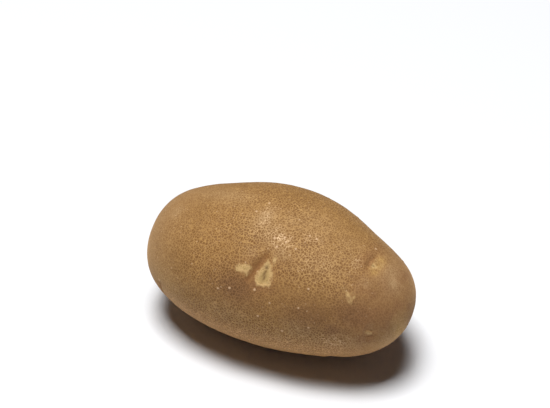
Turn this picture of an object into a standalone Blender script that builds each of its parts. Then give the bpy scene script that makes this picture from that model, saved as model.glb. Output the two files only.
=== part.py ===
# A large russet potato, whole and unpeeled, lying on its side on a small flat spot.
#
# Metres, +Z up. The stem end points to -X. The bud end, where the eyes crowd together, points to +X.
# The origin is on the surface that the potato lies on, under the middle of its box.
#
# Two numbers give a place on the skin:
#   along   -1 at the stem end, 0 at mid length, 1 at the bud end
#   turn    degrees around the long axis, 0 on top, 90 on the front (-Y), -90 on the back

import math
from collections import namedtuple

import bmesh
import bpy
from mathutils import Vector, noise

MM = 0.001

# Driving dimensions
LENGTH = 115 * MM
WIDTH = 68.5 * MM
HEIGHT = 60 * MM
TAPER = -0.08            # the bud end is slimmer than the stem end
BLUNTNESS = 0.08         # both ends are rounder than an ellipsoid's
BEND = -2.6 * MM         # the ends lean to the front, so the back is bowed
REST_DEPTH = 0.5 * MM    # what the flat spot takes off the round underside

# Fine unevenness of the whole skin
RIPPLE_HEIGHT = 0.35 * MM
RIPPLE_LENGTH = 17 * MM

# Broad swells (height above 0) and hollows (below 0), each fading out over its reach
Swell = namedtuple("Swell", "along turn reach height")
SWELLS = (
    Swell(-0.97, 40, 24, -1.2 * MM),
    Swell(-0.84, -18, 28, 0.9 * MM),
    Swell(-0.60, -33, 24, -2.2 * MM),
    Swell(-0.65, 120, 26, -0.4 * MM),
    Swell(-0.60, -165, 26, 0.6 * MM),
    Swell(-0.15, -120, 34, 0.8 * MM),
    Swell(0.15, 132, 26, -0.4 * MM),
    Swell(0.20, -46, 30, 1.5 * MM),
    Swell(0.54, -51, 24, -3.4 * MM),
    Swell(0.98, -140, 26, -2.4 * MM),
)

# Eyes, from the bud end to the stem end, in a loose spiral around the tuber. Width is that of the brow
# across the tuber, and slant turns the brow in the skin.
Eye = namedtuple("Eye", "along turn width depth slant")
EYES = (
    Eye(0.92, -158, 7.0 * MM, 0.8 * MM, 0),
    Eye(0.86, -100, 8.0 * MM, 0.9 * MM, 10),
    Eye(0.81, 86, 8.0 * MM, 0.5 * MM, 0),
    Eye(0.80, -136, 9.0 * MM, 1.0 * MM, -8),
    Eye(0.70, 9, 9.5 * MM, 0.6 * MM, -6),
    Eye(0.54, 146, 10.0 * MM, 0.9 * MM, 6),
    Eye(0.36, -84, 11.5 * MM, 1.1 * MM, -6),
    Eye(0.06, 52, 14.0 * MM, 1.2 * MM, -10),
    Eye(-0.16, -148, 11.5 * MM, 1.0 * MM, 5),
    Eye(-0.44, -56, 9.5 * MM, 0.8 * MM, -5),
    Eye(-0.70, 106, 8.0 * MM, 0.6 * MM, 0),
)

# An eye's relief, in half widths from its centre. The brow is a crescent on the stem side of the hollow,
# with a crease under it, and the bud is a small nub in the hollow.
HOLLOW_CENTRE = 0.15
HOLLOW_REACH = Vector((0.62, 0.95))
BROW_PLACE = -0.75
BROW_CURVE = 0.2
BROW_SHARE = 0.4
BROW_REACH = 0.38
BROW_HALF_LENGTH = 0.9
CREASE_GAP = 0.42
CREASE_SHARE = 0.3
CREASE_REACH = 0.22
BUD_SHARE = 0.3
BUD_REACH = Vector((0.17, 0.24))
EYE_END = 1.5            # widths from its centre, past which an eye leaves no mark

# The scar where the stem broke off: a round pit with a low rim
SCAR_TURN = -110
SCAR_ALONG = -0.985
SCAR_RADIUS = 3.2 * MM
SCAR_DEPTH = 1.0 * MM
SCAR_RIM = 0.35 * MM
RIM_REACH = 0.4          # in scar radii
PIT_REACH = 0.75
SCAR_END = 3

# Mesh: even triangles all over, halved once around each eye and again at its middle
SPHERE_STEPS = 5
HALVED_REACHES = (1.45, 0.95)
SNAP = 0.25 * MM
SMOOTH_ANGLE = 50

SKIN_COLOUR = (164, 123, 80)
SKIN_ROUGHNESS = 0.7


def clear_scene():
    for obj in list(bpy.data.objects):
        bpy.data.objects.remove(obj, do_unlink=True)


def linear(channel):
    """One 0-255 sRGB channel as linear light."""
    share = channel / 255
    if share <= 0.04045:
        return share / 12.92
    return ((share + 0.055) / 1.055) ** 2.4


def skin_material():
    material = bpy.data.materials.new("russet skin")
    material.use_nodes = True
    shader = material.node_tree.nodes["Principled BSDF"]
    shader.inputs["Base Color"].default_value = (*(linear(channel) for channel in SKIN_COLOUR), 1)
    shader.inputs["Roughness"].default_value = SKIN_ROUGHNESS
    shader.inputs["Metallic"].default_value = 0
    return material


def direction(along, turn):
    """The unit vector from the tuber's middle towards a place on its skin."""
    girth = math.sqrt(1 - along * along)
    angle = math.radians(turn)
    return Vector((along, -math.sin(angle) * girth, math.cos(angle) * girth))


def outward(toward):
    """The way the plain oval skin faces there."""
    return Vector((toward.x / LENGTH, toward.y / WIDTH, toward.z / HEIGHT)).normalized()


def body_point(toward):
    """The skin without its eyes: a tapered, slightly bowed oval with broad swells and hollows."""
    fullness = 1 + TAPER * toward.x + BLUNTNESS * toward.x ** 2
    bow = BEND * (toward.x ** 2 - 1 / 3)
    point = Vector((
        toward.x * LENGTH / 2,
        toward.y * WIDTH / 2 * fullness + bow,
        toward.z * HEIGHT / 2 * fullness,
    ))
    height = RIPPLE_HEIGHT * noise.noise(point / RIPPLE_LENGTH)
    for swell in SWELLS:
        apart = math.degrees(toward.angle(direction(swell.along, swell.turn), 0))
        height += swell.height * math.exp(-(apart / swell.reach) ** 2)
    return point + outward(toward) * height


class Spot:
    """A place on the skin with its own axes: towards the bud end, around the tuber, and out of it."""

    def __init__(self, along, turn, slant=0):
        toward = direction(along, turn)
        self.centre = body_point(toward)
        self.out = outward(toward)
        to_bud = (Vector((1, 0, 0)) - self.out * self.out.x).normalized()
        around = self.out.cross(to_bud)
        angle = math.radians(slant)
        self.to_bud = to_bud * math.cos(angle) + around * math.sin(angle)
        self.around = self.out.cross(self.to_bud)

    def place(self, point):
        """The point's distance from the centre towards the bud end, and around."""
        offset = point - self.centre
        return offset.dot(self.to_bud), offset.dot(self.around)


def bell(distance, reach):
    return math.exp(-(distance / reach) ** 2)


def eye_relief(eye, spot, point):
    if (point - spot.centre).length > EYE_END * eye.width:
        return 0
    ahead, across = (part / (eye.width / 2) for part in spot.place(point))
    brow_line = BROW_PLACE + BROW_CURVE * across ** 2
    brow_ends = math.exp(-(across / BROW_HALF_LENGTH) ** 4)
    hollow = bell(ahead - HOLLOW_CENTRE, HOLLOW_REACH.x) * bell(across, HOLLOW_REACH.y)
    brow = BROW_SHARE * bell(ahead - brow_line, BROW_REACH) * brow_ends
    crease = CREASE_SHARE * bell(ahead - brow_line - CREASE_GAP, CREASE_REACH) * brow_ends
    bud = BUD_SHARE * bell(ahead - HOLLOW_CENTRE, BUD_REACH.x) * bell(across, BUD_REACH.y)
    return eye.depth * (brow - hollow - crease + bud)


def scar_relief(spot, point):
    if (point - spot.centre).length > SCAR_END * SCAR_RADIUS:
        return 0
    from_centre = math.hypot(*spot.place(point)) / SCAR_RADIUS
    return SCAR_RIM * bell(from_centre - 1, RIM_REACH) - SCAR_DEPTH * bell(from_centre, PIT_REACH)


def middle_of(edge):
    """The point of the unit sphere over an edge's middle."""
    return ((edge.verts[0].co + edge.verts[1].co) / 2).normalized()


def halve_near(mesh, places):
    """Halves the edges within each place's reach, so that the relief there has triangles to stand on."""
    near = []
    for edge in mesh.edges:
        point = body_point(middle_of(edge))
        if any((point - centre).length < reach for centre, reach in places):
            near.append(edge)
    bmesh.ops.subdivide_edges(mesh, edges=near, cuts=1, use_grid_fill=True)
    bmesh.ops.triangulate(mesh, faces=mesh.faces)
    for vertex in mesh.verts:
        vertex.co.normalize()


def shape_skin(mesh, eyes, scar):
    """Moves each point of the unit sphere out to the skin."""
    for vertex in mesh.verts:
        toward = vertex.co.normalized()
        point = body_point(toward)
        height = scar_relief(scar, point) + sum(eye_relief(eye, spot, point) for eye, spot in eyes)
        vertex.co = point + outward(toward) * height


def cut_flat_spot(mesh):
    """Takes a thin slice off the underside and closes it with a flat face."""
    floor = min(vertex.co.z for vertex in mesh.verts) + REST_DEPTH
    for vertex in mesh.verts:
        if abs(vertex.co.z - floor) < SNAP:
            vertex.co.z = floor
    cut = bmesh.ops.bisect_plane(
        mesh,
        geom=mesh.verts[:] + mesh.edges[:] + mesh.faces[:],
        dist=MM / 1000,
        plane_co=(0, 0, floor),
        plane_no=(0, 0, -1),
        clear_outer=True,
    )
    rim = [edge for edge in mesh.edges if edge.is_boundary]
    for part in cut["geom_cut"]:
        if isinstance(part, bmesh.types.BMVert):
            part.co.z = floor
    bmesh.ops.contextual_create(mesh, geom=rim)
    bmesh.ops.triangulate(mesh, faces=mesh.faces)


def centre_on_base(mesh):
    """Puts the origin under the middle of the box, at the level of the flat spot."""
    low = Vector(min(vertex.co[axis] for vertex in mesh.verts) for axis in range(3))
    high = Vector(max(vertex.co[axis] for vertex in mesh.verts) for axis in range(3))
    middle = (low + high) / 2
    bmesh.ops.translate(mesh, verts=mesh.verts, vec=(-middle.x, -middle.y, -low.z))


def make_potato(collection):
    eyes = [(eye, Spot(eye.along, eye.turn, eye.slant)) for eye in EYES]
    scar = Spot(SCAR_ALONG, SCAR_TURN)
    mesh = bmesh.new()
    bmesh.ops.create_icosphere(mesh, subdivisions=SPHERE_STEPS, radius=1)
    for reach in HALVED_REACHES:
        places = [(spot.centre, reach * eye.width / 2) for eye, spot in eyes]
        places.append((scar.centre, reach * SCAR_RADIUS))
        halve_near(mesh, places)
    shape_skin(mesh, eyes, scar)
    cut_flat_spot(mesh)
    centre_on_base(mesh)
    bmesh.ops.recalc_face_normals(mesh, faces=mesh.faces)
    data = bpy.data.meshes.new("potato")
    mesh.to_mesh(data)
    mesh.free()
    data.shade_smooth()
    data.set_sharp_from_angle(angle=math.radians(SMOOTH_ANGLE))
    data.materials.append(skin_material())
    collection.objects.link(bpy.data.objects.new("potato", data))


clear_scene()
parts = bpy.data.collections.new("potato")
bpy.context.scene.collection.children.link(parts)
make_potato(parts)
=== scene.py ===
# A whole russet potato on a white studio floor, seen from in front and above.
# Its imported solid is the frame: the skin here is pressed onto it, then given its eyes, scars and colours.
import math
import random

import bpy
import numpy as np
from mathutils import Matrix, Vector, noise


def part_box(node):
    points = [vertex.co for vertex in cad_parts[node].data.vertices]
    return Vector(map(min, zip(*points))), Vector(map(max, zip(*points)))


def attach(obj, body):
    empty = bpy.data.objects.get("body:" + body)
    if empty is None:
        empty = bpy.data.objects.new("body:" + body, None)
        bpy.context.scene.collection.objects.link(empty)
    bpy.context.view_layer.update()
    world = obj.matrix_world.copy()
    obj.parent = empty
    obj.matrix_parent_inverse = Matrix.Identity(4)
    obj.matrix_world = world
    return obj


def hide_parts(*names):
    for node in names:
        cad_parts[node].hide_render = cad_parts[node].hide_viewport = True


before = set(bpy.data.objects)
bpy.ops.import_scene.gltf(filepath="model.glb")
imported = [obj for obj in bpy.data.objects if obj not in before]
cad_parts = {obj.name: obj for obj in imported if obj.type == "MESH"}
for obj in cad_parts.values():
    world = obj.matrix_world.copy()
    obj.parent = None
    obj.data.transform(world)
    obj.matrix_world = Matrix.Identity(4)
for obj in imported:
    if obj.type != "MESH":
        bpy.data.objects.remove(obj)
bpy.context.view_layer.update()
print("frame loaded")

mm = 0.001


def srgb(hexCode):
    # a hex colour as linear light, with alpha 1
    channels = [int(hexCode[i:i + 2], 16) / 255 for i in (1, 3, 5)]
    return tuple(c / 12.92 if c <= 0.04045 else ((c + 0.055) / 1.055) ** 2.4 for c in channels) + (1.0,)


def addNode(tree, kind, settings=None, output=0, **inputs):
    # adds one node and gives back one of its outputs
    # inputs are given by name, or by number as input0, input1 and so on
    # one that is given an output is linked to it, and any other value is set on the socket
    node = tree.nodes.new("ShaderNode" + kind)
    for name, value in (settings or {}).items():
        setattr(node, name, value)
    for name, value in inputs.items():
        name = name.replace("_", " ")
        key = int(name.removeprefix("input")) if name.startswith("input") else name
        socket = node.inputs[key]
        if isinstance(value, bpy.types.NodeSocket):
            tree.links.new(value, socket)
        else:
            socket.default_value = value
    return node.outputs[output]


def makeActive(obj):
    bpy.ops.object.select_all(action="DESELECT")
    obj.select_set(True)
    bpy.context.view_layer.objects.active = obj


def applyAll(obj):
    makeActive(obj)
    for modifier in list(obj.modifiers):
        bpy.ops.object.modifier_apply(modifier=modifier.name)


# The camera stands where the photo was taken from: in front, above, and a little towards the bud end
photoView = {
    "azimuth": 27.62,                     # degrees round from the front
    "elevation": 36.0,
    "distance": 0.6832,                   # from the aim, in metres
    "aim": (-0.0412, 0.0723, 0.0),        # past the tuber, so it lies low in the frame
    "lens": 100.0,                        # and the sensor, in mm
    "sensor": 36.0,
    "nearest": 0.05,                      # what is closer isn't drawn, in metres
}


def makeCamera(view):
    azimuth, elevation = math.radians(view["azimuth"]), math.radians(view["elevation"])
    back = Vector((math.sin(azimuth) * math.cos(elevation),
                   -math.cos(azimuth) * math.cos(elevation), math.sin(elevation)))
    bpy.ops.object.camera_add(location=Vector(view["aim"]) + back * view["distance"],
                              rotation=(-back).to_track_quat("-Z", "Y").to_euler())
    camera = bpy.context.object
    camera.data.lens = view["lens"]
    camera.data.sensor_width = view["sensor"]
    camera.data.clip_start = view["nearest"]
    bpy.context.scene.camera = camera


makeCamera(photoView)
print("camera placed")

# The tuber's plain oval, as in the part: along runs from -1 at the stem end to 1 at the bud end,
# and turn is degrees round the long axis, 0 on top and 90 on the front
oval = {
    "length": 115 * mm, "width": 68.5 * mm, "height": 60 * mm,
    "taper": -0.08, "blunt": 0.08, "bend": -2.6 * mm,
    "middle": (0.6 * mm, -1.0 * mm, 29.7 * mm),      # where it lies in the frame
    "probe": 15 * mm,                                # how far outside it a ray starts towards the skin
}


def ovalPlace(along, turn):
    # the point of the plain oval there, and the way it faces
    girth, angle = math.sqrt(1 - along * along), math.radians(turn)
    toward = Vector((along, -math.sin(angle) * girth, math.cos(angle) * girth))
    fullness = 1 + oval["taper"] * along + oval["blunt"] * along ** 2
    point = Vector((toward.x * oval["length"] / 2,
                    toward.y * oval["width"] / 2 * fullness + oval["bend"] * (along ** 2 - 1 / 3),
                    toward.z * oval["height"] / 2 * fullness)) + Vector(oval["middle"])
    out = Vector((toward.x / oval["length"], toward.y / oval["width"], toward.z / oval["height"]))
    return point, out.normalized()


class SkinSpot:
    # a place on the skin with its own axes, in mm: ahead to the bud end, and across, up the near side
    def __init__(self, surface, along, turn, slant=0):
        point, out = ovalPlace(along, turn)
        self.centre = surface.ray_cast(point + out * oval["probe"], -out)[1]
        toBud = (Vector((1, 0, 0)) - out * out.x).normalized()
        around = out.cross(toBud)
        angle = math.radians(slant)
        self.ahead = toBud * math.cos(angle) + around * math.sin(angle)
        self.across = out.cross(self.ahead)

    def place(self, points):
        # how far ahead, how far across and how far off each point is
        offset = (points - np.array(self.centre)) / mm
        return offset @ np.array(self.ahead), offset @ np.array(self.across), np.linalg.norm(offset, axis=1)


# Eyes, as in the part: width is across the brow and depth is the hollow's, in mm.
# The scar is the pale cork round the bud: its outline where the photo shows it, or else its half sizes.
# Pale, where it is below 1, draws the cork in from that outline by the rest, in mm. Brow outlines the cork
# that lies on the brow.
# Seams are the dark marks in the scar: place ahead and across, then half sizes. SeamDark is how strong
# they are. The groove runs under the brow, along its line where the photo shows it, and dark is the share
# of the painted shade laid in it.
eyes = [
    {"along": 0.92, "turn": -158, "width": 7.0, "depth": 0.8, "slant": 0, "scar": (1.0, 2.0)},
    {"along": 0.86, "turn": -100, "width": 8.0, "depth": 0.9, "slant": 10, "scar": (1.2, 2.4)},
    # on this eye low at the bud end, the long seam below the bud is painted shadow over a shallow groove
    {"along": 0.81, "turn": 86, "width": 8.0, "depth": 0.5, "slant": 0,
     "scar": ((-1.3, 0.2), (-0.7, 0.9), (0.3, 0.7), (1.1, -0.1), (0.4, -0.6), (-0.6, -0.6)), "pale": 0.9,
     "seams": ((0.2, -1.4, 1.9, 0.35), (0.9, 1.1, 0.8, 0.3)), "seamDark": 0.5, "dark": 0.1},
    {"along": 0.80, "turn": -136, "width": 9.0, "depth": 1.0, "slant": -8, "scar": (1.3, 2.8)},
    {"along": 0.70, "turn": 9, "width": 9.5, "depth": 0.6, "slant": -6,
     "scar": ((-1.0, -0.2), (-0.3, 0.9), (0.8, 0.7), (2.2, 0.5), (3.2, -0.6), (2.2, -1.8), (1.2, -3.2),
              (0.0, -3.0), (-0.6, -1.8)), "pale": 0.35,
     "seams": ((0.6, -0.8, 0.5, 0.45), (-0.9, -2.0, 0.4, 0.3)), "seamDark": 0.8, "dark": 0.12},
    {"along": 0.54, "turn": 146, "width": 10.0, "depth": 0.9, "slant": 6, "scar": (1.6, 3.0)},
    {"along": 0.36, "turn": -84, "width": 11.5, "depth": 1.1, "slant": -6, "scar": (2.0, 4.0)},
    {"along": 0.06, "turn": 52, "width": 14.0, "depth": 1.2, "slant": -10,
     "scar": ((0.5, 5.3), (2.3, 4.3), (3.9, 3.1), (4.9, 1.2), (5.6, -0.8), (6.3, -2.2), (5.4, -3.3),
              (3.4, -4.1), (1.2, -4.6), (-0.3, -3.6), (-0.7, -2.1), (-0.5, 0.4), (0.1, 3.4)),
     "brow": ((-9.2, -2.4), (-8.0, -1.0), (-6.3, -0.2), (-4.7, 0.5), (-3.4, 0.2), (-3.3, -1.6),
              (-3.7, -3.6), (-4.7, -3.0), (-6.2, -3.1), (-8.0, -3.6)),
     "seams": ((1.6, 2.5, 0.7, 0.75), (1.9, 0.4, 0.5, 1.5), (2.5, -1.3, 0.45, 1.3)),
     "groove": ((-1.0, 6.8), (-1.8, 2.6), (-2.4, -0.7), (-3.0, -4.6)), "dark": 0.85},
    {"along": -0.16, "turn": -148, "width": 11.5, "depth": 1.0, "slant": 5, "scar": (1.8, 3.6)},
    {"along": -0.44, "turn": -56, "width": 9.5, "depth": 0.8, "slant": -5, "scar": (1.3, 2.4)},
    {"along": -0.70, "turn": 106, "width": 8.0, "depth": 0.6, "slant": 0, "scar": (0.9, 1.6)},
]

# Pale yellowish cork away from the buds: place on the tuber, slant and half sizes in mm.
# Share, where it is below 1, draws it in by the rest, in mm. Most keeps it faint: the lower, the fainter.
corkPatches = [
    {"along": 0.128, "turn": 41.5, "slant": 5, "half": (1.1, 2.0), "share": 0.55},    # by the great eye
    {"along": 0.652, "turn": 50.5, "slant": 35, "half": (0.9, 1.5), "share": 1.0, "most": 0.0},
    {"along": 0.618, "turn": 46.0, "slant": 35, "half": (0.8, 1.6), "share": 1.0, "most": -0.6},
    {"along": 0.663, "turn": 48.5, "slant": -20, "half": (0.7, 1.2), "share": 1.0, "most": -0.4},
    {"along": 0.731, "turn": 5.5, "slant": 15, "half": (1.3, 2.0), "share": 1.0, "most": -0.4},
]

# Corked-over breathing pores: place on the tuber and radius in mm
pores = [
    (-0.14, 12, 0.5), (-0.10, 2, 0.55), (-0.71, 94, 0.6), (-0.19, 72, 0.45), (-0.11, 69, 0.5),
    (0.058, 65, 0.5), (0.40, 53, 0.5), (0.37, 69, 0.45), (0.11, 84, 0.5), (0.28, 92, 0.55),
    (0.45, 84, 0.5), (0.18, 71, 0.4), (0.66, -7, 0.5), (0.23, 29, 0.55), (0.07, 27, 0.6),
    (0.13, 24, 0.6), (0.11, 32, 0.5), (0.15, 27, 0.45), (0.27, 16, 0.5), (0.32, 16, 0.45), (0.15, 7, 0.4),
]
# The rest are strewn over the underside and the back
farPores = {"seed": 4, "count": 30, "along": (-0.85, 0.9), "turn": (115, 335), "radius": (0.35, 0.6)}

# Smooth yellow skin: place on the tuber, half sizes in mm, and how strong it is, as in the lists after it
goldPatches = [
    {"along": 0.73, "turn": 3, "half": (2.2, 3.2), "share": 0.8},
    {"along": 0.73, "turn": 8, "half": (2.2, 3.0), "share": 1.0},
    {"along": 0.72, "turn": 16, "half": (2.2, 1.8), "share": 0.9},
    {"along": 0.80, "turn": 86, "half": (2.4, 1.8), "share": 0.35},
    # the next three, low on both ends, are yellow skin with painted bounce light from the floor in it
    {"along": -0.66, "turn": 94, "half": (6.0, 8.0), "share": 0.2},
    {"along": 0.86, "turn": 112, "half": (8.0, 7.0), "share": 0.12},
    {"along": 0.965, "turn": 105, "half": (3.5, 5.0), "share": 0.6},
    {"along": -0.60, "turn": -160, "half": (9.0, 9.0), "share": 0.5},
]

# Skin that is browner and greyer. Some patches are the skin's own tone, while those under the great eye and
# along the band low on the front are painted shade
dullAndShadePatches = [
    {"along": -0.07, "turn": 68, "half": (11.0, 7.0), "share": 1.0},      # under the great eye
    {"along": 0.07, "turn": 62, "half": (4.5, 3.5), "share": 0.85},
    {"along": 0.16, "turn": 62, "half": (4.0, 3.0), "share": 0.5},
    {"along": 0.68, "turn": 42, "half": (3.0, 4.0), "share": 0.25},
    {"along": 0.45, "turn": 74, "half": (12.0, 7.0), "share": 0.8},
    {"along": 0.60, "turn": 82, "half": (6.0, 4.0), "share": 0.9},
    {"along": 0.66, "turn": 7, "half": (2.0, 3.5), "share": 0.25},
    {"along": 0.70, "turn": 65, "half": (10.0, 6.5), "share": 1.0},
    {"along": 0.82, "turn": 36, "half": (7.0, 6.0), "share": 0.4},
    {"along": 0.20, "turn": 44, "half": (5.0, 5.0), "share": 0.2},
    {"along": -0.30, "turn": 178, "half": (12.0, 9.0), "share": 0.6},
    {"along": 0.45, "turn": -130, "half": (11.0, 8.0), "share": 0.6},
]

# Skin that is paler and greyer. Some patches are the skin's own tone; those low on the front and round both
# ends are painted bounce light from the floor, and those on top of the bud end are a painted highlight
paleAndLitPatches = [
    {"along": -0.03, "turn": 19, "half": (8.0, 8.0), "share": 0.25},
    {"along": -0.06, "turn": 15, "half": (3.0, 5.5), "share": 0.45},
    {"along": 0.25, "turn": 4, "half": (13.0, 8.0), "share": 0.2},
    {"along": 0.42, "turn": 28, "half": (15.0, 12.0), "share": 0.1},
    {"along": 0.51, "turn": 9, "half": (8.0, 8.0), "share": 0.15},
    {"along": 0.13, "turn": 8, "half": (8.0, 6.0), "share": 0.22},
    {"along": 0.81, "turn": 5, "half": (5.0, 6.0), "share": 0.65},
    {"along": 0.85, "turn": 14, "half": (4.0, 4.0), "share": 0.8},
    {"along": 0.815, "turn": 78, "half": (3.0, 2.5), "share": 0.25},
    {"along": 0.16, "turn": 36, "half": (3.5, 3.0), "share": 0.3},
    # painted bounce light from the floor along the lower rim
    {"along": 0.965, "turn": 108, "half": (4.0, 6.0), "share": 0.7},       # a paler rim at the bud end
    {"along": 0.90, "turn": 122, "half": (4.0, 5.0), "share": 0.5},
    {"along": 0.39, "turn": 88, "half": (6.0, 5.0), "share": 0.35},
    {"along": -0.04, "turn": 41, "half": (3.5, 3.5), "share": 0.25},
    {"along": -0.57, "turn": 102, "half": (5.0, 6.0), "share": 0.25},
    {"along": -0.54, "turn": 88, "half": (6.0, 5.0), "share": 0.2},
    {"along": 0.74, "turn": 98, "half": (5.0, 4.0), "share": 0.1},
    {"along": 0.716, "turn": 32, "half": (2.2, 2.0), "share": 0.35},
    {"along": -0.42, "turn": 1, "half": (13.0, 5.5), "share": 0.35},
    {"along": -0.71, "turn": 24, "half": (3.0, 3.0), "share": 0.35},
    {"along": -0.66, "turn": 90, "half": (6.0, 8.0), "share": 0.2},
    {"along": -0.12, "turn": 87, "half": (9.0, 5.0), "share": 0.2},
    {"along": 0.25, "turn": 100, "half": (12.0, 5.0), "share": 0.12},
    {"along": -0.10, "turn": -160, "half": (9.0, 8.0), "share": 0.4},
    {"along": 0.65, "turn": -60, "half": (8.0, 7.0), "share": 0.4},
]

# Where the net is brightest, on the upper front partly a painted highlight
brightPatches = [
    {"along": 0.10, "turn": 26, "half": (6.0, 4.0), "share": 1.0},
    {"along": 0.30, "turn": 17, "half": (4.5, 2.5), "share": 0.6},
    {"along": 0.38, "turn": 32, "half": (9.0, 6.0), "share": 0.3},
    {"along": -0.06, "turn": 14, "half": (3.0, 6.0), "share": 0.8},
    {"along": 0.61, "turn": 19, "half": (1.5, 2.5), "share": 0.7},
    {"along": 0.60, "turn": 97, "half": (7.0, 4.0), "share": 0.6},
    {"along": -0.35, "turn": -150, "half": (9.0, 6.0), "share": 0.6},
    {"along": 0.30, "turn": 175, "half": (9.0, 5.0), "share": 0.6},
]

# Where the net is strongest
netPatches = [
    {"along": 0.30, "turn": 40, "half": (12.0, 11.0), "share": 1.0},
    {"along": -0.08, "turn": 28, "half": (9.0, 9.0), "share": 0.6},
    {"along": -0.35, "turn": 65, "half": (10.0, 9.0), "share": 0.6},
    {"along": 0.10, "turn": -2, "half": (8.0, 6.0), "share": 1.0},
    {"along": 0.10, "turn": -100, "half": (14.0, 13.0), "share": 0.8},
]

# Where the net fades
calmPatches = [
    {"along": 0.47, "turn": 67, "half": (7.0, 6.0), "share": 0.6},
    {"along": 0.05, "turn": 62, "half": (4.0, 3.0), "share": 0.4},
    {"along": 0.30, "turn": -8, "half": (8.0, 5.0), "share": 0.2},
    {"along": 0.27, "turn": 6, "half": (7.0, 5.0), "share": 0.25},
    {"along": 0.28, "turn": 59, "half": (12.0, 5.0), "share": 0.42},
    {"along": 0.19, "turn": 37, "half": (5.0, 4.0), "share": 0.45},
    {"along": 0.68, "turn": 45, "half": (4.0, 5.0), "share": 0.3},
    {"along": 0.48, "turn": -3, "half": (7.0, 6.0), "share": 0.35},
    {"along": -0.48, "turn": 5, "half": (10.0, 4.5), "share": 0.35},
    {"along": -0.10, "turn": 13, "half": (8.0, 5.0), "share": 0.25},
]

stemScar = {"along": -0.985, "turn": -110, "radius": 3.2}       # where the stolon broke off, in mm

tuber = {
    "sphereSteps": 7,              # 82,000 even triangles, about 0.8 mm across
    "oversize": 1.03,              # the sphere starts just outside the solid
    "joinGap": 0.01 * mm,          # points of the solid that are closer are joined
    "guideLevels": 2,              # how often its faces are split to round it
    "eyeReaches": (1.5, 1.1),      # half widths within which the triangles are split, and split again
    "poreReaches": (1.6, 1.2),     # the same round a pore, in mm
    "corkReaches": (1.8, 1.4),     # the same round other cork, in its half lengths
    "smoothRounds": 2, "smoothShare": 0.5,
}


def makeGuide():
    # a joined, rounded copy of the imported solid, for the fine skin to be pressed onto
    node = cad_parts["potato"]
    guide = bpy.data.objects.new("guide", node.data.copy())
    bpy.context.scene.collection.objects.link(guide)
    makeActive(guide)
    bpy.ops.object.mode_set(mode="EDIT")
    bpy.ops.mesh.select_all(action="SELECT")
    bpy.ops.mesh.remove_doubles(threshold=tuber["joinGap"])
    bpy.ops.object.mode_set(mode="OBJECT")
    rounding = guide.modifiers.new("rounding", "SUBSURF")
    rounding.levels = rounding.render_levels = tuber["guideLevels"]
    applyAll(guide)
    return guide


def strewPores():
    # the pores on the back and the underside, each with its place and radius
    chance = random.Random(farPores["seed"])
    ranges = [farPores[name] for name in ("along", "turn", "radius")]
    return [tuple(chance.uniform(low, high) for low, high in ranges) for _ in range(farPores["count"])]


def pointsOf(mesh):
    points = np.empty(len(mesh.vertices) * 3)
    mesh.vertices.foreach_get("co", points)
    return points.reshape(-1, 3)


def splitNear(obj, spots):
    # splits each triangle within a spot's reach, in mm, into four
    mesh = obj.data
    points = pointsOf(mesh)
    near = np.zeros(len(points), bool)
    for spot, reach in spots:
        near |= spot.place(points)[2] < reach
    makeActive(obj)
    mesh.vertices.foreach_set("select", near)
    for parts, corners in ((mesh.edges, 2), (mesh.polygons, 3)):
        ends = np.empty(len(parts) * corners, np.int32)
        parts.foreach_get("vertices", ends)
        parts.foreach_set("select", near[ends.reshape(-1, corners)].all(axis=1))
    bpy.ops.object.mode_set(mode="EDIT")
    bpy.ops.mesh.subdivide(number_cuts=1, ngon=False)
    bpy.ops.mesh.select_all(action="SELECT")
    bpy.ops.mesh.quads_convert_to_tris()
    bpy.ops.object.mode_set(mode="OBJECT")


def pressOnto(obj, guide):
    # moves every point straight in or out onto the guide
    makeActive(obj)
    press = obj.modifiers.new("press", "SHRINKWRAP")
    press.target = guide
    press.wrap_method = "PROJECT"
    press.use_negative_direction = True
    press.use_positive_direction = True
    bpy.ops.object.modifier_apply(modifier=press.name)


def makeSkin(guide, eyeSpots, corkSpots, poreSpots):
    low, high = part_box("potato")
    bpy.ops.mesh.primitive_ico_sphere_add(subdivisions=tuber["sphereSteps"], radius=0.5,
                                          location=(low + high) / 2)
    skin = bpy.context.object
    skin.name = skin.data.name = "potatoSkin"
    skin.scale = (high - low) * tuber["oversize"]
    bpy.ops.object.transform_apply(location=True, rotation=True, scale=True)
    reaches = zip(tuber["eyeReaches"], tuber["corkReaches"], tuber["poreReaches"])
    for eyeReach, corkReach, poreReach in reaches:
        pressOnto(skin, guide)
        near = [(spot, eyeReach * eye["width"] / 2) for eye, spot in zip(eyes, eyeSpots)]
        near += [(spot, corkReach * max(patch["half"])) for patch, spot in zip(corkPatches, corkSpots)]
        near += [(spot, poreReach) for spot, radius in poreSpots]
        splitNear(skin, near)
    pressOnto(skin, guide)
    soften = skin.modifiers.new("soften", "SMOOTH")
    soften.factor = tuber["smoothShare"]
    soften.iterations = tuber["smoothRounds"]
    applyAll(skin)
    return skin


guide = makeGuide()
eyeSpots = [SkinSpot(guide, eye["along"], eye["turn"], eye["slant"]) for eye in eyes]
corkSpots = [SkinSpot(guide, patch["along"], patch["turn"], patch["slant"]) for patch in corkPatches]
poreSpots = [(SkinSpot(guide, along, turn), radius) for along, turn, radius in pores + strewPores()]
potatoSkin = makeSkin(guide, eyeSpots, corkSpots, poreSpots)
print("skin pressed on:", len(potatoSkin.data.polygons), "triangles")

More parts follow.
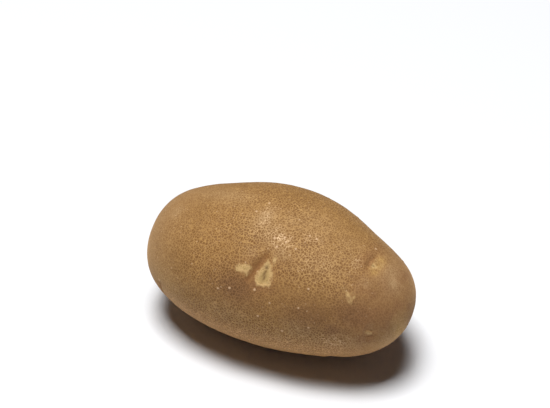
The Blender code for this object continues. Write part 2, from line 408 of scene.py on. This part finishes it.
# Relief too fine for the solid. The brow and its fold lie as in the part, in half widths of the eye.
relief = {
    "lumps": ((9.0, 0.10), (3.6, 0.05)),       # length and height in mm
    "eyeEnd": 2.2,                             # half widths, past which an eye leaves no mark
    "browPlace": -0.75, "browCurve": 0.2, "foldGap": 0.42,
    "foldSteps": (-0.8, -0.4, 0.0, 0.4, 0.8),  # across
    "foldReach": 0.14, "foldDepth": 0.2,       # depth as a share of the eye's
    # how much painted shade darkens the crease under a brow
    "foldShade": 0.8,
    "scarCorners": 12, "scarAhead": 0.6,       # ahead of the eye's centre, in mm
    "scarRim": 0.12, "rimInset": 0.2, "rimReach": 0.45,         # in mm
    "seamAhead": 0.7, "seamHalf": 0.35,        # in mm
    "seamLength": 0.25,                        # half of it, in half widths of the eye
    "seamDepth": 0.3,
    "redReach": 0.9,                           # how far an eye reddens the skin, in half widths
    "poreHeight": 0.12,
    "noCork": -9.0, "mostCork": 2.0,           # cork is in mm inside its edge, kept within 2 mm of it
    "corkEnd": 12.0, "tintEnd": 30.0,          # mm, past which a patch leaves no mark
}


def bell(distance, reach):
    return np.exp(-(distance / reach) ** 2)


def smoothStep(values, start, end):
    share = np.clip((values - start) / (end - start), 0, 1)
    return share * share * (3 - 2 * share)


def fromLine(line, ahead, across):
    # how far each point is from a line of straight stretches
    nearest = np.full(len(ahead), np.inf)
    for (x1, y1), (x2, y2) in zip(line, line[1:]):
        dx, dy = x2 - x1, y2 - y1
        share = np.clip(((ahead - x1) * dx + (across - y1) * dy) / (dx * dx + dy * dy), 0, 1)
        nearest = np.minimum(nearest, np.hypot(ahead - x1 - share * dx, across - y1 - share * dy))
    return nearest


def insideOutline(outline, ahead, across):
    # how far each point is inside a closed outline, below 0 outside
    closed = outline + outline[:1]
    inside = np.zeros(len(ahead), bool)
    for (x1, y1), (x2, y2) in zip(closed, closed[1:]):
        if y1 != y2:
            crosses = (y1 > across) != (y2 > across)
            inside ^= crosses & (ahead < x1 + (across - y1) * (x2 - x1) / (y2 - y1))
    nearest = fromLine(closed, ahead, across)
    return np.where(inside, nearest, -nearest)


def scarOutline(scar):
    # the outline as given, or an oval ahead of the eye's centre
    if len(scar) > 2:
        return scar
    ahead, across = scar
    corners = [math.tau * i / relief["scarCorners"] for i in range(relief["scarCorners"])]
    return tuple((relief["scarAhead"] + ahead * math.cos(c), across * math.sin(c)) for c in corners)


def grooveLine(half):
    # the crease under the brow, from one end to the other
    foldPlace = relief["browPlace"] + relief["foldGap"]
    return tuple((half * (foldPlace + relief["browCurve"] * step ** 2), half * step)
                 for step in relief["foldSteps"])


def shapeEyes(points, height, fields):
    # each eye's fold, scar and seams, and the fields that colour them
    noCork = relief["noCork"]
    for eye, spot in zip(eyes, eyeSpots):
        half = eye["width"] / 2
        ahead, across, apart = spot.place(points)
        near = apart < relief["eyeEnd"] * half
        inside = np.where(near, insideOutline(scarOutline(eye["scar"]), ahead, across), noCork)
        cork = inside - (1 - eye.get("pale", 1))
        if "brow" in eye:
            onBrow = insideOutline(eye["brow"], ahead, across)
            cork = np.maximum(cork, np.where(near, onBrow, noCork))
        fromGroove = fromLine(eye.get("groove", grooveLine(half)), ahead, across)
        fold = bell(fromGroove, relief["foldReach"] * half) * near
        plainSeam = (relief["seamAhead"], 0, relief["seamHalf"], relief["seamLength"] * half)
        seam = np.zeros(len(points))
        for seamAhead, seamAcross, halfAhead, halfAcross in eye.get("seams", (plainSeam,)):
            mark = bell(ahead - seamAhead, halfAhead) * bell(across - seamAcross, halfAcross)
            seam = np.maximum(seam, mark)
        seam = eye.get("seamDark", 1) * seam * near
        height += relief["scarRim"] * bell(inside - relief["rimInset"], relief["rimReach"]) * near
        height -= relief["foldDepth"] * eye["depth"] * fold
        height -= relief["seamDepth"] * seam
        fields["cork"] = np.maximum(fields["cork"], cork)
        fields["fold"] = np.maximum(fields["fold"], eye.get("dark", relief["foldShade"]) * fold)
        fields["seam"] = np.maximum(fields["seam"], seam)
        fields["around"] = np.maximum(fields["around"], bell(apart / half, relief["redReach"]) * near)


def shapePatches(points, guide, fields):
    # the fields of the other cork and of the patches of colour
    for patch, spot in zip(corkPatches, corkSpots):
        ahead, across, apart = spot.place(points)
        halfAhead, halfAcross = patch["half"]
        inside = (1 - np.hypot(ahead / halfAhead, across / halfAcross)) * min(patch["half"])
        inside = np.minimum(inside - (1 - patch["share"]), patch.get("most", np.inf))
        inside = np.where(apart < relief["corkEnd"], inside, relief["noCork"])
        fields["cork"] = np.maximum(fields["cork"], inside)
    for name, patches in (("bright", brightPatches), ("gold", goldPatches), ("dullAndShade", dullAndShadePatches),
                          ("pale", paleAndLitPatches), ("strong", netPatches), ("calm", calmPatches)):
        for patch in patches:
            ahead, across, apart = SkinSpot(guide, patch["along"], patch["turn"]).place(points)
            halfAhead, halfAcross = patch["half"]
            share = patch["share"] * bell(ahead, halfAhead) * bell(across, halfAcross)
            fields[name] = np.maximum(fields[name], np.where(apart < relief["tintEnd"], share, 0))


def shapePores(points, height, fields):
    # each pore is a low lump
    for spot, radius in poreSpots:
        apart = spot.place(points)[2]
        lump = bell(apart, radius)
        height += relief["poreHeight"] * lump
        fields["pore"] = np.maximum(fields["pore"], lump)


# Where the skin changes over the whole tuber. Each pair is where a change begins and where it is complete,
# along the tuber or in degrees of turn to either side.
spread = {
    "offFloor": (0.3 * mm, 3 * mm),            # the height over which the relief sets in
    # painted bounce light: the lower front is painted paler, as lit by light bounced up from the floor
    "under": (88, 112),
    # the paler stem end is partly its own smoother skin and partly painted light wrapping round that end
    "stemEnd": (-0.95, -0.45),                 # a colour of its own, gone by the second
    "budEnd": (0.5, 0.9),
    "netStart": (-1.4, -0.1),                  # the net grows stronger from the stem end
    "netEnd": (0.5, 0.85), "netEndLoss": 0.62,
    "netSide": (55, 80), "netSideLoss": 0.1,
    "netUnder": (82, 100), "netUnderGain": 0.35,
    "netPlain": 0.72, "netStrong": 0.28,       # its share outside netPatches, and what they add
    "netBrightLoss": 0.5,
}


def netField(along, turn, fields):
    # how strong the net is at each point
    lengthwise = smoothStep(along, *spread["netStart"])
    lengthwise = lengthwise * (1 - spread["netEndLoss"] * smoothStep(along, *spread["netEnd"]))
    crosswise = (1 - spread["netSideLoss"] * smoothStep(turn, *spread["netSide"])
                 + spread["netUnderGain"] * smoothStep(turn, *spread["netUnder"]))
    local = spread["netPlain"] + spread["netStrong"] * fields["strong"]
    local = local * (1 - fields["calm"]) * (1 - spread["netBrightLoss"] * fields["bright"])
    return lengthwise * crosswise * local


def shapeSkin(obj, guide):
    mesh = obj.data
    points = pointsOf(mesh)
    normals = np.empty(len(points) * 3)
    mesh.vertices.foreach_get("normal", normals)
    normals = normals.reshape(-1, 3)
    height = np.zeros(len(points))                       # in mm
    names = ("fold", "seam", "around", "bright", "gold", "dullAndShade", "pale", "strong", "calm", "pore")
    fields = {name: np.zeros(len(points)) for name in names}
    fields["cork"] = np.full(len(points), relief["noCork"])
    shapeEyes(points, height, fields)
    shapePatches(points, guide, fields)
    shapePores(points, height, fields)
    for length, size in relief["lumps"]:
        height += size * np.array([noise.noise(Vector(p)) for p in points / (length * mm)])
    offFloor = smoothStep(points[:, 2], *spread["offFloor"])
    moved = points + normals * (height * mm * offFloor)[:, None]
    mesh.vertices.foreach_set("co", moved.ravel())

    middle = oval["middle"]
    along = (points[:, 0] - middle[0]) / (oval["length"] / 2)
    turn = np.abs(np.degrees(np.arctan2(middle[1] - points[:, 1], points[:, 2] - middle[2])))
    fromStem = SkinSpot(guide, stemScar["along"], stemScar["turn"]).place(points)[2]
    fields["around"] *= 1 - fields["gold"]               # the yellow skin isn't reddened
    fields["net"] = netField(along, turn, fields)
    fields["under"] = smoothStep(turn, *spread["under"])
    fields["stemEnd"] = 1 - smoothStep(along, *spread["stemEnd"])
    fields["budEnd"] = smoothStep(along, *spread["budEnd"])
    fields["stem"] = bell(fromStem, stemScar["radius"])
    fields["cork"] = np.clip(fields["cork"], -relief["mostCork"], relief["mostCork"])
    del fields["strong"], fields["calm"]                 # they only shape the net
    for name, values in fields.items():
        field = mesh.attributes.new(name, "FLOAT", "POINT")
        field.data.foreach_set("value", values.astype(np.float32))
    mesh.shade_smooth()
    mesh.update()


shapeSkin(potatoSkin, guide)
bpy.data.objects.remove(guide)
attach(potatoSkin, "root")
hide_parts("potato")
print("eyes, patches and pores shaped")

# Russet skin is a thin dry cork that has split as the tuber swelled. It gives the eye a fine pale net with
# brown pits between its lines, matt, with only a soft sheen at its edges.
skinLook = {
    "netCell": 1.04 * mm,                     # from pit to pit
    "lineHalf": 0.17,                         # half a line's width, in cells
    "netBend": 1.1 * mm, "bendSize": 1.5 * mm,
    "speckCell": 1.9 * mm, "speckEdge": (0.22, 0.10),      # from its rim to where it is full, in cells
    # soft noises from broad to grain: size in mm, detail and roughness
    "noises": ((26, 1, 0.5), (9, 2, 0.5), (3.2, 3, 0.65), (1.6, 3, 0.5), (0.5, 2, 0.5)),
    # the browner, greyer tone on this line is partly the skin's own and partly painted shade
    "tan": "#b68b4f", "brown": "#b0864b", "gold": "#deb66c", "dullAndShade": "#8c633c",
    # under is painted bounce light on the lower front
    "stemEnd": "#bf9866", "budEnd": "#b58b58", "rosy": "#a4784c", "under": "#ca9d67", "pale": "#d6b688",
    # brightLine is partly a painted highlight on the upper front
    "line": "#ffffff", "pit": "#a69170", "brightLine": "#ebc79b",
    "corkRim": "#cba870", "corkMiddle": "#b4965e", "corkDark": "#9c7a45",
    # fold is painted shade in the crease under an eye's brow
    "fold": "#7c5022", "around": "#966236", "seam": "#6a4c26", "stem": "#6b4a30", "pore": "#cfab84",
    # how far each colour can cover what is under it
    "most": {"under": 0.7, "stemEnd": 1.0, "budEnd": 1.0, "pale": 1.0, "gold": 1.0, "dullAndShade": 0.8, "rosy": 0.7,
             "around": 0.3, "fold": 0.85, "cork": 0.85, "seam": 0.8, "pore": 0.8, "stem": 0.8},
    "meanDepth": 0.6, "grainDepth": 0.5, "mottleDepth": 0.4, "noiseDepth": 0.45,
    "raggedCork": 2.6, "raggedPore": 1.2,
    "budEndSpecks": -0.3,                     # they are fewer there
    "bump": 0.6, "bumpHeight": 0.08 * mm, "netHeight": 0.8,
    "roughness": (0.76, 0.90), "sheen": 0.3, "sheenRoughness": 0.45, "sheenTint": "#e4b67a",
}


def makeRussetSkin(look):
    material = bpy.data.materials.new("russetCorkSkin")
    material.use_nodes = True
    tree = material.node_tree
    shader = tree.nodes["Principled BSDF"]
    rgba = {"data_type": "RGBA"}
    tint = {"data_type": "RGBA", "blend_type": "MULTIPLY"}
    times, minus, timesPlus = ({"operation": name} for name in ("MULTIPLY", "SUBTRACT", "MULTIPLY_ADD"))
    soft = {"interpolation_type": "SMOOTHSTEP"}
    most = look["most"]

    def add(kind, settings=None, output=0, **inputs):
        return addNode(tree, kind, settings, output, **inputs)

    place = add("TexCoord", None, "Object")
    field = {name: add("Attribute", {"attribute_name": name}, "Fac")
             for name in ("net", "stemEnd", "budEnd", "under", "bright", "gold", "dullAndShade", "pale", "cork",
                          "fold", "seam", "around", "pore", "stem")}

    # soft patches of four sizes, and a fine grain
    broad, middling, mottle, small, grain = (
        add("TexNoise", Vector=place, Scale=1 / (size * mm), Detail=detail, Roughness=roughness)
        for size, detail, roughness in look["noises"])

    # the net's cells are bent out of line by a noise, and it is a little weaker here and there
    bend = add("TexNoise", None, "Color", Vector=place, Scale=1 / look["bendSize"], Detail=2.0)
    centred = add("VectorMath", {"operation": "SUBTRACT"}, input0=bend, input1=(0.5, 0.5, 0.5))
    moved = add("VectorMath", {"operation": "MULTIPLY_ADD"}, input0=centred,
                input1=(look["netBend"],) * 3, input2=place)
    toLine = add("TexVoronoi", {"feature": "DISTANCE_TO_EDGE"}, Vector=moved, Scale=1 / look["netCell"])
    pit = add("MapRange", soft, Value=toLine, From_Min=0.0, From_Max=look["lineHalf"])
    lines = add("Math", minus, input0=1.0, input1=pit)
    strength = add("MapRange", soft, Value=middling, From_Min=0.3, From_Max=0.6, To_Min=0.75)
    netShare = add("Math", times, input0=field["net"], input1=strength)

    # the ground colour runs from brown to tan, with broad patches of other colours over it; the paler
    # underside is painted bounce light, and the stem end and the paler, yellower and browner patches are
    # partly painted light and shade
    # the bud end is rosier in places, but not where it is pale
    tanShare = add("MapRange", soft, Value=broad, From_Min=0.35, From_Max=0.65)
    colour = add("Mix", rgba, 2, input0=tanShare, input6=srgb(look["brown"]), input7=srgb(look["tan"]))
    rosy = add("MapRange", soft, Value=middling, From_Min=0.48, From_Max=0.62, To_Max=most["rosy"])
    rosy = add("Math", times, input0=rosy, input1=add("Math", minus, input0=1.0, input1=field["pale"]))
    grounds = [(field[name], most[name], srgb(look[name]))
               for name in ("under", "stemEnd", "budEnd", "pale", "gold", "dullAndShade")]
    grounds.append((field["budEnd"], rosy, srgb(look["rosy"])))
    for share, limit, tone in grounds:
        amount = add("Math", times, input0=share, input1=limit)
        colour = add("Mix", rgba, 2, input0=amount, input6=colour, input7=tone)

    # depth is 0 on a pale line and 1 in a brown pit, and the grain and the mottle shift it a little
    # the last step takes off what the two add on average
    depth = add("Mix", None, 0, Factor=netShare, A=look["meanDepth"], B=pit)
    depth = add("Math", timesPlus, input0=grain, input1=look["grainDepth"], input2=depth)
    depth = add("Math", timesPlus, input0=mottle, input1=look["mottleDepth"], input2=depth)
    depth = add("Math", minus, input0=depth, input1=look["noiseDepth"])
    netTone = add("Mix", rgba, 2, input0=depth, input6=srgb(look["line"]), input7=srgb(look["pit"]))
    colour = add("Mix", tint, 2, input0=1.0, input6=colour, input7=netTone)
    # the brightest lines come in clumps, and on the upper front they are partly a painted highlight
    shine = add("Math", times, input0=field["bright"], input1=lines)
    clump = add("MapRange", soft, Value=small, From_Min=0.46, From_Max=0.62, To_Min=0.2, To_Max=0.95)

    # a scar's cork has a ragged edge and a pale rim, and is darker in its grain
    uneven = add("Math", minus, input0=small, input1=0.5)
    ragged = add("Math", timesPlus, input0=uneven, input1=look["raggedCork"], input2=field["cork"])
    corkShare = add("MapRange", soft, Value=ragged, From_Min=-0.7, From_Max=0.7)
    toMiddle = add("MapRange", soft, Value=ragged, From_Min=0.5, From_Max=1.8)
    corkTone = add("Mix", rgba, 2, input0=toMiddle,
                   input6=srgb(look["corkRim"]), input7=srgb(look["corkMiddle"]))
    paleGrain = add("MapRange", soft, Value=grain, From_Min=0.3, From_Max=0.48)
    corkTone = add("Mix", rgba, 2, input0=paleGrain, input6=srgb(look["corkDark"]), input7=corkTone)
    brokenPore = add("Math", timesPlus, input0=uneven, input1=look["raggedPore"], input2=field["pore"])
    poreShare = add("MapRange", soft, Value=brokenPore, From_Min=0.2, From_Max=0.8)
    # a dust of pale corked specks, here thicker and there thinner
    toSpeck = add("TexVoronoi", Vector=moved, Scale=1 / look["speckCell"])
    rim, full = look["speckEdge"]
    speck = add("MapRange", soft, Value=toSpeck, From_Min=rim, From_Max=full)
    thick = add("MapRange", soft, Value=small, From_Min=0.45, From_Max=0.65, To_Max=0.5)
    thick = add("Math", timesPlus, input0=field["budEnd"], input1=look["budEndSpecks"], input2=thick)
    thick = add("Math", {"operation": "MAXIMUM"}, input0=thick, input1=0.0)

    # around an eye the skin is redder, its fold is darkened with painted shade, and its scar is pale and
    # yellowish
    # each of these lies over those before it
    marks = (
        (shine, clump, srgb(look["brightLine"])),
        (field["around"], most["around"], srgb(look["around"])),
        (field["fold"], most["fold"], srgb(look["fold"])),
        (corkShare, most["cork"], corkTone),
        (field["seam"], most["seam"], srgb(look["seam"])),
        (poreShare, most["pore"], srgb(look["pore"])),
        (field["stem"], most["stem"], srgb(look["stem"])),
        (speck, thick, srgb(look["pore"])),
    )
    for share, limit, tone in marks:
        amount = add("Math", times, input0=share, input1=limit)
        colour = add("Mix", rgba, 2, input0=amount, input6=colour, input7=tone)
    tree.links.new(colour, shader.inputs["Base Color"])

    # the net's lines stand a little proud of the pits, and the whole is finely rough
    netHeight = add("Math", times, input0=netShare, input1=lines)
    height = add("Math", timesPlus, input0=netHeight, input1=look["netHeight"], input2=grain)
    bump = add("Bump", Height=height, Strength=look["bump"], Distance=look["bumpHeight"])
    tree.links.new(bump, shader.inputs["Normal"])
    smoothest, roughest = look["roughness"]
    rough = add("MapRange", soft, Value=small, From_Min=0.3, From_Max=0.7, To_Min=smoothest, To_Max=roughest)
    tree.links.new(rough, shader.inputs["Roughness"])
    shader.inputs["Sheen Weight"].default_value = look["sheen"]
    shader.inputs["Sheen Roughness"].default_value = look["sheenRoughness"]
    shader.inputs["Sheen Tint"].default_value = srgb(look["sheenTint"])
    return material


potatoSkin.data.materials.append(makeRussetSkin(skinLook))
print("skin coloured")

# A large white board under one softbox, with a weak fill from all around
studio = {
    "floorSize": 2.0, "floor": "#e4e5e7", "floorRoughness": 0.8,
    "lampSize": 1.0, "lampPlace": (-0.14, -0.22, 2.5), "lampWatts": 87.0,
    "fill": "#d4e0ff", "fillStrength": 0.03,
    "backdrop": "#ffffff",
}


def makeBoard(look):
    # the floor is plain white board, matt
    material = bpy.data.materials.new("whiteStudioBoard")
    material.use_nodes = True
    shader = material.node_tree.nodes["Principled BSDF"]
    shader.inputs["Base Color"].default_value = srgb(look["floor"])
    shader.inputs["Roughness"].default_value = look["floorRoughness"]
    return material


def makeStudio(look):
    bpy.ops.mesh.primitive_plane_add(size=look["floorSize"])
    floor = bpy.context.object
    floor.name = "floor"
    floor.data.materials.append(makeBoard(look))

    place = Vector(look["lampPlace"])
    turned = (-place).to_track_quat("-Z", "Y").to_euler()
    bpy.ops.object.light_add(type="AREA", location=place, rotation=turned)
    lamp = bpy.context.object
    lamp.name = "softbox"
    lamp.data.size = look["lampSize"]
    lamp.data.energy = look["lampWatts"]

    # seen directly the world is a white backdrop past the floor, and otherwise a weak fill
    world = bpy.data.worlds.new("studioFill")
    bpy.context.scene.world = world
    world.use_nodes = True
    tree = world.node_tree
    fill = tree.nodes["Background"]
    fill.inputs["Color"].default_value = srgb(look["fill"])
    fill.inputs["Strength"].default_value = look["fillStrength"]
    backdrop = addNode(tree, "Background", None, 0, Color=srgb(look["backdrop"]))
    seen = addNode(tree, "LightPath", None, "Is Camera Ray")
    shown = addNode(tree, "MixShader", None, 0, input0=seen, input1=fill.outputs[0], input2=backdrop)
    tree.links.new(shown, tree.nodes["World Output"].inputs["Surface"])
    bpy.context.scene.view_settings.view_transform = "Standard"


makeStudio(studio)
print("studio lit")
